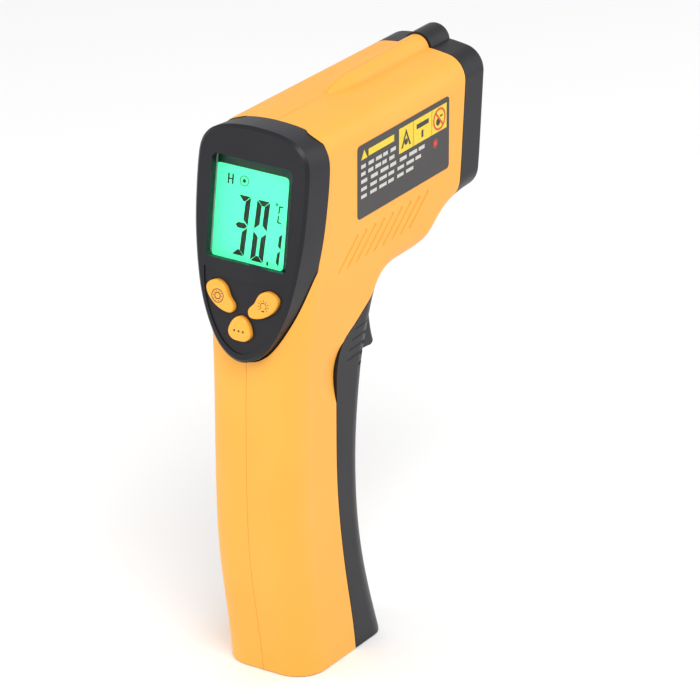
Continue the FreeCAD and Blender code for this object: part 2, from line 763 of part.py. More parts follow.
def cell(y, upright):
    """One AAA cell; the nub marks its positive end."""
    x, radius, nub = size("cell_x"), size("cell_radius"), size("nub_length")
    length = size("cell_length")
    bottom = size("tray_bottom") + size("tray_wall")
    body_low = bottom + (size("contact_spring_height") if upright else size("plate_thick") + nub)
    can = Part.makeCylinder(radius, length, V(x, y, body_low))
    rims = [e for e in can.Edges if e.BoundBox.ZLength < 0.01]
    can = can.makeFillet(0.5, rims)
    nub_low = body_low + length - 0.2 if upright else body_low - nub
    return can.fuse(Part.makeCylinder(size("nub_radius"), nub + 0.2, V(x, y, nub_low)))


def coil(start, axis, length, radius, wire, turns):
    """Helical compression spring from a start point along an axis."""
    helix = Part.makeHelix((length - 2 * wire) / turns, length - 2 * wire, radius)
    ring = Part.Wire(Part.makeCircle(wire, V(radius, 0, 0), V(0, 1, 0)))
    spring = Part.Wire(helix).makePipeShell([ring], True, True)
    spring.translate(V(0, 0, wire))
    turn = FreeCAD.Rotation(V(0, 0, 1), V(*axis))
    spring.Placement = FreeCAD.Placement(V(*start), turn).multiply(spring.Placement)
    return spring


def contact_springs():
    """The two coils that press the cells against their plates."""
    x, y = size("cell_x"), size("cell_y")
    low = size("tray_bottom") + size("tray_wall")
    length, wire = size("contact_spring_height"), size("contact_wire")
    cell_top = low + size("plate_thick") + size("nub_length") + size("cell_length")
    return Part.makeCompound([
        coil((x, y, low), (0, 0, 1), length, 2.8, wire, 3.0),
        coil((x, -y, cell_top), (0, 0, 1), length, 2.8, wire, 3.0)])


def contact_plates():
    """Flat plates for the positive ends of the cells."""
    x, y, thick = size("cell_x"), size("cell_y"), size("plate_thick")
    low = size("tray_bottom") + size("tray_wall")
    nub_top = low + size("contact_spring_height") + size("cell_length") + size("nub_length")
    high = size("tray_bottom") + size("tray_height") - size("tray_wall")
    return Part.makeCompound([
        box(x - 3.5, x + 2.4, y - 4, y + 4, nub_top, high),
        box(x - 3.5, x + 2.4, -y - 4, -y + 4, low, low + thick)])


def lead(side):
    """Insulated lead from the battery tray up to the main board."""
    top = size("tray_bottom") + size("tray_height") - 0.6
    points = [V(size("tray_back") - 0.4, side * 5.4, top), V(-10.6, side * 5.4, top + 2.6),
              V(-11.4, side * 5.2, 92.0), V(-14.2, side * 5.0, 103.0),
              V(-19.4, side * 4.6, 110.4)]
    path = spline(points)
    tangent = path.tangent(path.FirstParameter)[0]
    ring = Part.Wire(Part.makeCircle(size("lead_radius"), points[0], tangent))
    return Part.Wire(path.toShape()).makePipeShell([ring], True, True)


def trigger_spring():
    """Return spring between the small board and the trigger."""
    start = size("trigger_board_x") + size("trigger_board_thick")
    return coil((start, 0, size("spring_height")), (1, 0, 0), 8.66 - start,
                size("spring_radius"), size("spring_wire"), 6.5)


def micro_switch():
    """Switch that the trigger works, with its short plunger."""
    start = size("trigger_board_x") + size("trigger_board_thick")
    z = size("micro_switch_height")
    body = box(start, start + 3.0, -3.0, 3.0, z - 2.6, z + 2.6)
    return body.fuse(cylinder_x(0, z, 1.0, start + 2.5, start + 4.2))


def optics_funnel():
    """Stepped black cone in front of the lens, with the lens tube behind."""
    back, front = size("funnel_back"), size("funnel_front")
    mouth, throat = size("funnel_mouth") - 0.9, size("funnel_throat")
    steps = 6
    inner = []
    for index in range(steps):
        near = back + 1.0 + (front - back - 1.0) * index / steps
        far = back + 1.0 + (front - back - 1.0) * (index + 1) / steps
        radius = throat + (mouth - throat) * (index + 1) / steps
        inner += [V(near, 0, radius), V(far, 0, radius)]
    tube = size("lens_radius") + 1.5
    outer = [V(front, 0, mouth + 0.6), V(58.0, 0, mouth + 0.6), V(back, 0, tube),
             V(36.2, 0, tube), V(36.2, 0, tube - 1.3), V(back, 0, tube - 1.3),
             V(back, 0, throat)]
    points = [V(back, 0, throat), V(back + 1.0, 0, throat)] + inner + outer
    face = Part.Face(Part.makePolygon(points))
    solid = face.revolve(V(0, 0, 0), V(1, 0, 0), 360)
    solid.translate(V(0, 0, size("optic_height")))
    return solid


def fresnel_lens():
    """Ringed plastic lens that gathers the heat radiation."""
    radius, thick, back = size("lens_radius"), size("lens_thick"), size("funnel_back")
    lens = cylinder_x(0, size("optic_height"), radius, back - thick, back)
    for index in range(4):
        outer = 1.3 + 1.1 * index
        ring = cylinder_x(0, size("optic_height"), outer, back - 0.15, back + 1)
        lens = lens.cut(ring.cut(cylinder_x(0, size("optic_height"), outer - 0.3, back - 1, back + 1)))
    return lens


def heat_sensor():
    """Metal can with a small window and three pins."""
    z = size("optic_height")
    start = size("sensor_board_x") + size("sensor_board_thick")
    can = cylinder_x(0, z, size("can_radius"), start + 1.0, start + size("can_length"))
    rim = cylinder_x(0, z, size("can_radius") + 0.5, start, start + 1.0)
    can = can.fuse(rim)
    return can.cut(cylinder_x(0, z, 1.6, start + size("can_length") - 0.3, start + 9))


def laser_module():
    """Brass pointer barrel with a small recess for its lens."""
    start, z = size("laser_x"), size("laser_height")
    barrel = cylinder_x(0, z, size("laser_radius"), start, start + size("laser_length"))
    end = start + size("laser_length")
    barrel = barrel.cut(cylinder_x(0, z, 1.7, end - 1.5, end + 1))
    return barrel


def laser_lens():
    """Small clear lens in the pointer barrel."""
    end = size("laser_x") + size("laser_length")
    return cylinder_x(0, size("laser_height"), 1.7, end - 1.5, end - 0.7)


# ---------------------------------------------------------------- document pieces

PIECES = []


def feature(label, shape):
    """Free-form piece held as a Part::Feature."""
    item = DOC.addObject("Part::Feature", label)
    item.Shape = shape
    item.Label = label
    PIECES.append(item)
    return item


def bind(item, prop, expression):
    """Tie one property to the sheet."""
    item.setExpression(prop, expression)


def pin(label, radius, length, x, z):
    """Straight pin across the case, centred on the middle plane."""
    item = DOC.addObject("Part::Cylinder", label)
    bind(item, "Radius", "Sizes." + radius)
    bind(item, "Height", "Sizes." + length)
    item.Placement.Rotation = FreeCAD.Rotation(V(1, 0, 0), -90)
    bind(item, "Placement.Base.x", "Sizes." + x)
    bind(item, "Placement.Base.y", "-Sizes.%s / 2" % length)
    bind(item, "Placement.Base.z", "Sizes." + z)
    item.Label = label
    PIECES.append(item)
    return item


def plunger(label, points):
    """Round plunger between a button stem and its switch."""
    x, y = button_centre(points)
    item = DOC.addObject("Part::Cylinder", label)
    bind(item, "Radius", "Sizes.plunger_radius")
    bind(item, "Height", "Sizes.plunger_length")
    start = -size("plunger_depth") - size("plunger_length")
    item.Placement = face_frame().multiply(FreeCAD.Placement(V(x, y, start), FreeCAD.Rotation()))
    item.Label = label
    PIECES.append(item)
    return item


def plane_of(body, role):
    """One of a body's own origin planes."""
    return [o for o in body.Origin.OriginFeatures if o.Role == role][0]


def rectangle(sketch, width, height):
    """Rectangle centred on the sketch origin, its sides tied to the sheet."""
    corners = [V(-2, -1, 0), V(2, -1, 0), V(2, 1, 0), V(-2, 1, 0)]
    first = sketch.GeometryCount
    for index in range(4):
        sketch.addGeometry(Part.LineSegment(corners[index], corners[(index + 1) % 4]), False)
    for index in range(4):
        following = first + (index + 1) % 4
        sketch.addConstraint(Sketcher.Constraint("Coincident", first + index, 2, following, 1))
    for index, kind in enumerate(("Horizontal", "Vertical", "Horizontal", "Vertical")):
        sketch.addConstraint(Sketcher.Constraint(kind, first + index))
    sketch.addConstraint(Sketcher.Constraint("Symmetric", first, 1, first + 1, 2, -1, 1))
    wide = sketch.addConstraint(Sketcher.Constraint("DistanceX", first, 1, first, 2, 4.0))
    high = sketch.addConstraint(Sketcher.Constraint("DistanceY", first + 1, 1, first + 1, 2, 2.0))
    sketch.setExpression("Constraints[%d]" % wide, "Sizes." + width)
    sketch.setExpression("Constraints[%d]" % high, "Sizes." + height)


def plate(label, width, height, thick, placement, hole=None):
    """Rectangular plate as a PartDesign body, with an optional opening."""
    body = DOC.addObject("PartDesign::Body", label)
    sketch = body.newObject("Sketcher::SketchObject", label + "_outline")
    sketch.AttachmentSupport = [(plane_of(body, "XY_Plane"), "")]
    sketch.MapMode = "FlatFace"
    rectangle(sketch, width, height)
    if hole:
        rectangle(sketch, *hole)
    pad = body.newObject("PartDesign::Pad", label + "_pad")
    pad.Profile = sketch
    pad.setExpression("Length", "Sizes." + thick)
    body.Tip = pad
    body.Placement = placement
    body.Label = label
    PIECES.append(body)
    return body


def on_face(up, back):
    """Placement in the display stack: height along the face, back depth."""
    return face_frame().multiply(FreeCAD.Placement(V(0, up, -back), FreeCAD.Rotation()))


def across(x, z):
    """Placement of a board that stands across the barrel at station x."""
    matrix = FreeCAD.Matrix(0, 0, 1, x, 1, 0, 0, 0, 0, 1, 0, z, 0, 0, 0, 1)
    return FreeCAD.Placement(matrix)


case = whole_case()
feature("left_shell", half_case(case, 1))
feature("right_shell", half_case(case, -1))
feature("rear_bezel", bezel())
feature("nose_cap", nose_cap())
feature("battery_door", battery_door())
feature("trigger", trigger())
feature("side_label", side_label())
feature("light_button", button(SIDE_BUTTON, (9.8, -12.6, 1.6, 4.0)))
feature("laser_button", button(mirrored(SIDE_BUTTON), (-11.4, -12.6, 1.6, 4.0)))
feature("mode_button", button(MODE_BUTTON, (-2.0, -23.4, 4.0, 3.0)))
feature("main_board", main_board())
feature("button_switches", button_switches())
feature("board_screws", board_screws())
feature("case_screws", case_screws())
feature("battery_tray", battery_tray())
feature("battery_left", cell(size("cell_y"), True))
feature("battery_right", cell(-size("cell_y"), False))
feature("contact_springs", contact_springs())
feature("contact_plates", contact_plates())
feature("lead_red", lead(1))
feature("lead_black", lead(-1))
feature("trigger_spring", trigger_spring())
feature("micro_switch", micro_switch())
feature("optics_funnel", optics_funnel())
feature("fresnel_lens", fresnel_lens())
feature("heat_sensor", heat_sensor())
feature("laser_module", laser_module())
feature("laser_lens", laser_lens())

pin("trigger_pin", "pivot_radius", "pivot_length", "pivot_x", "pivot_z")
pin("door_hinge_pin", "hinge_radius", "hinge_length", "hinge_x", "hinge_z")
plunger("light_plunger", SIDE_BUTTON)
plunger("laser_plunger", mirrored(SIDE_BUTTON))
plunger("mode_plunger", MODE_BUTTON)

plate("display_window", "window_width", "window_height", "window_thick",
      on_face(size("opening_centre"), size("bezel_front") + size("window_thick")))
plate("display_glass", "glass_width", "glass_height", "glass_thick",
      on_face(size("glass_centre"), size("glass_back")))
plate("light_guide", "glass_width", "guide_height", "guide_thick",
      on_face(size("guide_centre"), size("guide_back")))
plate("display_carrier", "carrier_width", "carrier_height", "carrier_thick",
      on_face(size("carrier_centre"), size("board_depth")),
      hole=("carrier_hole_width", "carrier_hole_height"))
plate("display_connector", "zebra_width", "zebra_height", "zebra_thick",
      on_face(size("zebra_centre"), size("board_depth")))
plate("sensor_board", "sensor_board_side", "sensor_board_side", "sensor_board_thick",
      across(size("sensor_board_x"), size("optic_height")))
plate("trigger_board", "trigger_board_width", "trigger_board_height", "trigger_board_thick",
      across(size("trigger_board_x"), size("trigger_board_middle")))

DOC.recompute()


# ---------------------------------------------------------------- checks and files

for item in DOC.Objects:
    if "Invalid" in item.State or "Error" in item.State:
        raise RuntimeError("broken object: " + item.Name)
for item in PIECES:
    if item.Shape.isNull() or not item.Shape.isValid():
        raise RuntimeError("bad shape: " + item.Label)

os.makedirs("parts", exist_ok=True)
for item in PIECES:
    item.Shape.exportStep("parts/%s.step" % item.Label)
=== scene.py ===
"""Looks, lights and camera for the pistol-grip infrared thermometer."""
import bpy
import math
from mathutils import Matrix, Vector


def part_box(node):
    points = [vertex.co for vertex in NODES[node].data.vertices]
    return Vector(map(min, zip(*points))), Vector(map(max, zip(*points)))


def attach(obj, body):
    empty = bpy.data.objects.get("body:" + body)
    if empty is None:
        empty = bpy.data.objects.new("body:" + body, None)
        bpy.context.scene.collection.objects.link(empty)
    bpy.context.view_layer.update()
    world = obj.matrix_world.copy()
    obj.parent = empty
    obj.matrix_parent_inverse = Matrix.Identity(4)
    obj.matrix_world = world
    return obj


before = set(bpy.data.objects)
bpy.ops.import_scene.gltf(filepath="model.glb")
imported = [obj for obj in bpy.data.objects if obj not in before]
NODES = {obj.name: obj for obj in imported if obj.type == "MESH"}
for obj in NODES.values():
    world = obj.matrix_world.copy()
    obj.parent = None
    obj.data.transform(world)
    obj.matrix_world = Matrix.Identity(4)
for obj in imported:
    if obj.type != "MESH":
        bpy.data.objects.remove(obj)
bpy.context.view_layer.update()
MM = 0.001

# The display face: where it starts, how it leans and which way it looks.
FACE_LEAN = math.radians(7.7)
FACE_ORIGIN = Vector((-28.6, 0.0, 127.0)) * MM
FACE_RIGHT = Vector((0.0, -1.0, 0.0))
FACE_UP = Vector((math.sin(FACE_LEAN), 0.0, math.cos(FACE_LEAN)))
FACE_OUT = Vector((-math.cos(FACE_LEAN), 0.0, math.sin(FACE_LEAN)))


# ---------------------------------------------------------------- materials

def new_material(name, color, roughness, metallic=0.0, specular=0.5, coat=0.0):
    """A Principled material and its shader node."""
    material = bpy.data.materials.new(name)
    material.use_nodes = True
    shader = material.node_tree.nodes["Principled BSDF"]
    shader.inputs["Base Color"].default_value = (*color, 1.0)
    shader.inputs["Roughness"].default_value = roughness
    shader.inputs["Metallic"].default_value = metallic
    shader.inputs["Specular IOR Level"].default_value = specular
    shader.inputs["Coat Weight"].default_value = coat
    return material, shader


def add_node(material, kind, **values):
    """One shader node with its inputs set by name."""
    node = material.node_tree.nodes.new(kind)
    for key, value in values.items():
        node.inputs[key.replace("_", " ")].default_value = value
    return node


def object_noise(material, scale, detail=3.0, stretch=(1.0, 1.0, 1.0)):
    """Noise in the object's own metres."""
    tree = material.node_tree
    place = tree.nodes.new("ShaderNodeTexCoord")
    mapping = tree.nodes.new("ShaderNodeMapping")
    mapping.inputs["Scale"].default_value = stretch
    noise = add_node(material, "ShaderNodeTexNoise", Scale=scale, Detail=detail)
    tree.links.new(place.outputs["Object"], mapping.inputs["Vector"])
    tree.links.new(mapping.outputs["Vector"], noise.inputs["Vector"])
    return noise


def vary_color(material, shader, noise, dark, light):
    """The noise picks a colour between two close shades."""
    tree = material.node_tree
    ramp = tree.nodes.new("ShaderNodeValToRGB")
    ramp.color_ramp.elements[0].position = 0.3
    ramp.color_ramp.elements[0].color = (*dark, 1.0)
    ramp.color_ramp.elements[1].position = 0.7
    ramp.color_ramp.elements[1].color = (*light, 1.0)
    tree.links.new(noise.outputs["Fac"], ramp.inputs["Fac"])
    tree.links.new(ramp.outputs["Color"], shader.inputs["Base Color"])


def vary_roughness(material, shader, noise, low, high):
    """The noise moves the roughness between two values."""
    tree = material.node_tree
    spread = tree.nodes.new("ShaderNodeMapRange")
    spread.inputs["To Min"].default_value = low
    spread.inputs["To Max"].default_value = high
    tree.links.new(noise.outputs["Fac"], spread.inputs["Value"])
    tree.links.new(spread.outputs["Result"], shader.inputs["Roughness"])


def add_bump(material, shader, noise, strength, distance):
    """The noise raises and lowers the surface by a hair."""
    tree = material.node_tree
    bump = tree.nodes.new("ShaderNodeBump")
    bump.inputs["Strength"].default_value = strength
    bump.inputs["Distance"].default_value = distance
    tree.links.new(noise.outputs["Fac"], bump.inputs["Height"])
    tree.links.new(bump.outputs["Normal"], shader.inputs["Normal"])


def moulded_plastic(name, dark, light, rough_low, rough_high, grain=0.25, coat=0.0, specular=0.5):
    """Injection-moulded plastic: close shades, fine spark grain, uneven gloss."""
    material, shader = new_material(name, light, rough_low, specular=specular, coat=coat)
    shader.inputs["Coat Roughness"].default_value = 0.35
    vary_color(material, shader, object_noise(material, 38.0), dark, light)
    vary_roughness(material, shader, object_noise(material, 90.0, 4.0), rough_low, rough_high)
    add_bump(material, shader, object_noise(material, 5200.0, 2.0), grain, 0.00004)
    return material


def brushed_metal(name, dark, light, stretch):
    """Drawn or turned metal with fine lines along one way."""
    material, shader = new_material(name, light, 0.3, metallic=1.0)
    lines = object_noise(material, 2500.0, 3.0, stretch)
    vary_color(material, shader, lines, dark, light)
    vary_roughness(material, shader, lines, 0.22, 0.42)
    add_bump(material, shader, lines, 0.2, 0.00002)
    return material


def ink_and_painted_shade(name, color, roughness=0.55):
    """Opaque flat colour with a slightly broken surface, used for printing ink and for painted
    shade.
    """
    material, shader = new_material(name, color, roughness)
    noise = object_noise(material, 1600.0)
    vary_color(material, shader, noise, tuple(c * 0.82 for c in color), color)
    add_bump(material, shader, noise, 0.15, 0.00002)
    return material


def lit_display():
    """Green backlight whose colour and brightness vary a little at random."""
    material, shader = new_material("lit_display", (0.05, 0.85, 0.42), 0.4)
    tree = material.node_tree
    glow = tree.nodes.new("ShaderNodeValToRGB")
    glow.color_ramp.elements[0].position = 0.0
    glow.color_ramp.elements[0].color = (0.09, 0.90, 0.42, 1.0)
    glow.color_ramp.elements[1].position = 1.0
    glow.color_ramp.elements[1].color = (0.15, 1.0, 0.50, 1.0)
    noise = object_noise(material, 60.0, 1.0)
    tree.links.new(noise.outputs["Fac"], glow.inputs["Fac"])
    tree.links.new(glow.outputs["Color"], shader.inputs["Emission Color"])
    shader.inputs["Emission Strength"].default_value = 0.86
    return material


def clear_plastic(name, tint=(0.9, 1.0, 0.95)):
    """Clear window that keeps a soft sheen."""
    material, shader = new_material(name, tint, 0.04)
    shader.inputs["Transmission Weight"].default_value = 1.0
    shader.inputs["IOR"].default_value = 1.15
    add_bump(material, shader, object_noise(material, 700.0, 1.0), 0.02, 0.00001)
    return material


YELLOW = moulded_plastic("yellow_case", (0.93, 0.41, 0.042), (0.96, 0.435, 0.052), 0.42, 0.52)
BLACK = moulded_plastic("black_case", (0.008, 0.008, 0.011), (0.012, 0.012, 0.016), 0.34, 0.44,
                        specular=0.28)
KEY = moulded_plastic("orange_key", (0.95, 0.38, 0.03), (0.99, 0.43, 0.04), 0.33, 0.42, 0.1)
INNER_BLACK = moulded_plastic("inner_black", (0.010, 0.010, 0.012), (0.020, 0.020, 0.022),
                              0.5, 0.65)
WHITE = moulded_plastic("white_inner", (0.72, 0.74, 0.72), (0.82, 0.83, 0.80), 0.4, 0.55)
LENS = moulded_plastic("milky_lens", (0.70, 0.72, 0.74), (0.82, 0.84, 0.86), 0.22, 0.34, 0.05, 0.5)
BOARD = moulded_plastic("green_board", (0.008, 0.10, 0.035), (0.015, 0.17, 0.06),
                        0.28, 0.45, 0.1, 0.4)
RUBBER = moulded_plastic("pink_rubber", (0.55, 0.20, 0.28), (0.62, 0.25, 0.33), 0.6, 0.75)
CELL = moulded_plastic("cell_wrap", (0.020, 0.035, 0.11), (0.03, 0.05, 0.15), 0.2, 0.3, 0.05, 0.6)
RED_WIRE = moulded_plastic("red_wire", (0.42, 0.010, 0.008), (0.55, 0.015, 0.012), 0.35, 0.5)
BLACK_WIRE = moulded_plastic("black_wire", (0.010, 0.010, 0.010), (0.022, 0.022, 0.022), 0.35, 0.5)
STICKER = moulded_plastic("dark_sticker", (0.022, 0.019, 0.019), (0.034, 0.029, 0.028),
                          0.34, 0.44, 0.08)
STEEL = brushed_metal("steel", (0.42, 0.42, 0.43), (0.62, 0.62, 0.63), (1.0, 0.05, 1.0))
BRASS = brushed_metal("brass", (0.55, 0.36, 0.10), (0.74, 0.52, 0.18), (0.05, 1.0, 1.0))
DISPLAY = lit_display()
WINDOW = clear_plastic("clear_window")
SEGMENT = ink_and_painted_shade("dark_segment", (0.003, 0.016, 0.008), 0.5)
# Dark green print, partly painted shadow where the rim of the display opening shades the top and
# the right.
MASK_AND_SHADE = ink_and_painted_shade("green_mask_and_shade", (0.0015, 0.050, 0.026), 0.5)
KEY_PRINT = ink_and_painted_shade("key_print", (0.10, 0.035, 0.01))
# Painted shade: near-black colour for the rib shadows laid on the battery door.
RIB_SHADE = ink_and_painted_shade("painted_rib_shade", (0.0025, 0.0025, 0.003), 0.7)
LABEL_YELLOW = ink_and_painted_shade("label_yellow", (0.92, 0.66, 0.02), 0.4)
LABEL_WHITE = ink_and_painted_shade("label_white", (0.66, 0.64, 0.60), 0.45)
LABEL_RED = ink_and_painted_shade("label_red", (0.75, 0.06, 0.02), 0.45)
LABEL_DARK = ink_and_painted_shade("label_dark", (0.02, 0.018, 0.01), 0.45)

NODE_MATERIALS = {
    YELLOW: ["left_shell", "right_shell"],
    BLACK: ["rear_bezel", "nose_cap", "battery_door", "trigger"],
    INNER_BLACK: ["battery_tray", "optics_funnel", "micro_switch", "button_switches",
                  "light_plunger", "laser_plunger", "mode_plunger"],
    KEY: ["light_button", "laser_button", "mode_button"],
    WHITE: ["light_guide", "display_carrier"],
    LENS: ["fresnel_lens"],
    BOARD: ["main_board", "sensor_board", "trigger_board"],
    RUBBER: ["display_connector"],
    CELL: ["battery_left", "battery_right"],
    RED_WIRE: ["lead_red"],
    BLACK_WIRE: ["lead_black"],
    STICKER: ["side_label"],
    STEEL: ["board_screws", "case_screws", "contact_springs", "contact_plates",
            "trigger_spring", "heat_sensor", "trigger_pin", "door_hinge_pin"],
    BRASS: ["laser_module"],
    WINDOW: ["display_window", "laser_lens"],
    DISPLAY: ["display_glass"],
}


def paint_nodes():
    """Gives every CAD node its procedural material."""
    for material, names in NODE_MATERIALS.items():
        for name in names:
            slots = NODES[name].data.materials
            if len(slots) == 0:
                slots.append(material)
            for index in range(len(slots)):
                slots[index] = material


# ---------------------------------------------------------------- small printed pieces and the painted shade at the display border

def solid_piece(name, outlines, to_world, thickness, material, body):
    """Flat shapes, each given as a closed outline, made into one thin solid piece.

    to_world turns (a, b, height) in millimetres into a point in the frame.
    """
    vertices, faces = [], []
    for outline in outlines:
        count, first = len(outline), len(vertices)
        vertices += [to_world(a, b, 0.0) for a, b in outline]
        vertices += [to_world(a, b, thickness) for a, b in outline]
        faces.append([first + count + i for i in range(count)])
        faces.append([first + i for i in reversed(range(count))])
        for i in range(count):
            j = (i + 1) % count
            faces.append([first + i, first + j, first + count + j, first + count + i])
    mesh = bpy.data.meshes.new(name)
    mesh.from_pydata(vertices, [], faces)
    mesh.validate()
    mesh.materials.append(material)
    piece = bpy.data.objects.new(name, mesh)
    bpy.context.scene.collection.objects.link(piece)
    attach(piece, body)
    return piece


def on_face(depth):
    """Maps (right, up, height) on the display face, starting at a depth."""
    def to_world(a, b, height):
        place = FACE_RIGHT * a + FACE_UP * b + FACE_OUT * (height - depth)
        return FACE_ORIGIN + place * MM
    return to_world


def rectangle(a0, a1, b0, b1):
    return [(a0, b0), (a1, b0), (a1, b1), (a0, b1)]


def ring(a, b, inner, outer, start=0.0, end=360.0, steps=32):
    """Part of a flat ring as a list of small quads."""
    quads = []
    for index in range(steps):
        low = math.radians(start + (end - start) * index / steps)
        high = math.radians(start + (end - start) * (index + 1) / steps)
        corners = ((inner, low), (outer, low), (outer, high), (inner, high))
        quads.append([(a + radius * math.cos(angle), b + radius * math.sin(angle))
                      for radius, angle in corners])
    return quads


def disc(a, b, radius, steps=24):
    return [(a + radius * math.cos(math.tau * i / steps),
             b + radius * math.sin(math.tau * i / steps)) for i in range(steps)]


def digit_segments(width, height, bar):
    """Outlines of the seven bars of a digit, named a to g, each with slanted ends."""
    half, gap = height / 2, bar * 0.10
    top, bottom, middle = height - gap, gap, half

    def flat(y, inward):
        return [(gap, y), (width - gap, y), (width - bar - gap, y + inward * bar),
                (bar + gap, y + inward * bar)]

    def upright(x, inward, low, high):
        return [(x, low), (x, high), (x + inward * bar, high - bar * 0.9),
                (x + inward * bar, low + bar * 0.9)]

    near, far = bar * 0.5 + gap, width - bar * 0.5 - gap
    centre = [(gap, middle), (near, middle + bar / 2), (far, middle + bar / 2),
              (width - gap, middle), (far, middle - bar / 2), (near, middle - bar / 2)]
    upper, lower = (middle + gap * 2, top - gap), (bottom + gap, middle - gap * 2)
    return {
        "a": flat(top, -1), "d": flat(bottom, 1), "g": centre,
        "f": upright(0, 1, *upper), "b": upright(width, -1, *upper),
        "e": upright(0, 1, *lower), "c": upright(width, -1, *lower),
    }


def slanted(outline, a, b, slant=0.065):
    """A digit outline moved to its place and leaned to the right."""
    return [(a + x + slant * y, b + y) for x, y in outline]


PRINT_DEPTH = 3.58
MASK_AND_SHADE_DEPTH = 3.54


def display_content():
    """The reading, its unit and the two small signs."""
    shapes = []
    three, nought = digit_segments(4.1, 17.3, 1.6), digit_segments(4.2, 17.7, 1.6)
    for name in "abcdg":
        shapes.append(slanted(three[name], -6.95, 0.2))
    for name in "abcdef":
        shapes.append(slanted(nought[name], -0.8, -0.4))
    one = digit_segments(3.0, 9.6, 0.95)
    for name in "bc":
        shapes.append(slanted(one[name], 5.5, -0.3))
    shapes.append(rectangle(4.6, 5.2, -0.6, 0.5))
    unit = digit_segments(1.6, 5.0, 0.42)
    for name in "adef":
        shapes.append(slanted(unit[name], 7.1, 11.8))
    shapes += ring(6.6, 17.0, 0.16, 0.42, steps=16)
    shapes.append(rectangle(-9.7, -9.2, 19.7, 22.7))
    shapes.append(rectangle(-8.3, -7.8, 19.7, 22.7))
    shapes.append(rectangle(-9.2, -8.3, 21.0, 21.4))
    shapes += ring(-4.3, 21.4, 1.28, 1.5, steps=28)
    shapes.append(disc(-4.3, 21.4, 0.55))
    solid_piece("display_segments", shapes, on_face(PRINT_DEPTH), 0.05, SEGMENT, "case")


def rounded(a0, a1, b0, b1, radius, steps=6):
    """Rounded rectangle from the lower right corner, anticlockwise."""
    centres = [(a1 - radius, b0 + radius, -90), (a1 - radius, b1 - radius, 0),
               (a0 + radius, b1 - radius, 90), (a0 + radius, b0 + radius, 180)]
    points = []
    for a, b, start in centres:
        for index in range(steps + 1):
            angle = math.radians(start + 90 * index / steps)
            points.append((a + radius * math.cos(angle), b + radius * math.sin(angle)))
    return points


def display_mask_and_shade():
    """Dark green printed border behind the edge of the window, partly painted shadow: its thick
    band along the top and the right stands in for the shadow cast by the rim of the opening.
    """
    opening_side = -13.25
    outer = rounded(-13.3, 13.3, -1.8, 28.6, 0.1)
    # The inner edge leaves the band thickest along the top and the right, where it is painted
    # shadow.
    inner = [(max(a, opening_side), b) for a, b in rounded(-13.6, 10.15, -1.2, 25.1, 1.3)]
    count = len(inner)
    quads = [[inner[i], outer[i], outer[(i + 1) % count], inner[(i + 1) % count]]
             for i in range(count)]
    solid_piece("display_mask_and_shade", quads, on_face(MASK_AND_SHADE_DEPTH), 0.08, MASK_AND_SHADE, "case")


# ---------------------------------------------------------------- key signs

KEY_TOP = -1.08
INK = 0.03


def key_signs():
    """Small generic signs on the three keys."""
    left = (-7.6, -10.9)
    sun = ring(*left, 0.75, 1.05, steps=24) + ring(*left, 1.75, 2.0, steps=32)
    for index in range(10):
        angle = math.tau * index / 10
        centre = (left[0] + 1.4 * math.cos(angle), left[1] + 1.4 * math.sin(angle))
        sun.append(disc(*centre, 0.17, 8))
    solid_piece("laser_key_sign", sun, on_face(KEY_TOP), INK, KEY_PRINT, "laser_key")
    right = (7.4, -10.8)
    bulb = ring(*right, 0.85, 1.05, -50, 230, 24)
    bulb.append(rectangle(right[0] - 0.45, right[0] + 0.45, right[1] - 1.55, right[1] - 1.15))
    for index in range(9):
        angle = math.radians(-40 + 32.5 * index)
        near = Vector((math.cos(angle), math.sin(angle)))
        side = Vector((-near.y, near.x)) * 0.09
        base = Vector(right)
        bulb.append([tuple(base + near * 1.3 - side), tuple(base + near * 1.85 - side),
                     tuple(base + near * 1.85 + side), tuple(base + near * 1.3 + side)])
    solid_piece("light_key_sign", bulb, on_face(KEY_TOP), INK, KEY_PRINT, "light_key")
    dots = [disc(-1.4, -19.4, 0.34, 16), disc(0.0, -19.4, 0.34, 16), disc(1.4, -19.4, 0.34, 16)]
    solid_piece("mode_key_sign", dots, on_face(KEY_TOP), INK, KEY_PRINT, "mode_key")


# ---------------------------------------------------------------- side label print

LABEL_LOW, LABEL_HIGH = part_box("side_label")
LABEL_TAPER = 0.00051


def on_label(a, b, height):
    """Maps (forward, up) millimetres from the label's lower rear corner."""
    x = LABEL_LOW[0] + a * MM
    span = (x - LABEL_LOW[0]) / (LABEL_HIGH[0] - LABEL_LOW[0])
    y = LABEL_LOW[1] + LABEL_TAPER * span
    return Vector((x, y - (0.02 + height) * MM, LABEL_LOW[2] + b * MM))


def label_print():
    """Plain bars and blocks in place of the real label's wording."""
    lines = []
    rows = ((14.6, 19.0, 1.1), (12.4, 18.2, 1.1), (10.2, 35.0, 1.1),
            (8.0, 33.0, 1.0), (5.8, 28.0, 1.0))
    for height, length, thick in rows:
        words = 3 + int(length / 8)
        pitch, start = length / words, 1.6
        for index in range(words):
            share = 0.62 + 0.1 * ((index * 7) % 3)
            lines.append(rectangle(start, start + pitch * share, height, height + thick))
            start += pitch
    solid_piece("label_lines", lines, on_label, INK, LABEL_WHITE, "case")
    title = [rectangle(5.4, 18.6, 17.4, 19.4), [(1.6, 17.2), (4.8, 17.2), (3.2, 19.9)]]
    blocks = [rectangle(21.2, 28.6, 12.6, 20.0), rectangle(28.8, 38.4, 12.6, 20.0),
              rectangle(38.6, 46.4, 12.6, 20.0)]
    solid_piece("label_blocks", title + blocks, on_label, INK, LABEL_YELLOW, "case")


def on_block(a, b, height):
    """The same map, on top of the coloured blocks."""
    return on_label(a, b, height + INK)


def on_sign(a, b, height):
    """The same map, on top of the dark signs."""
    return on_label(a, b, height + 2 * INK)


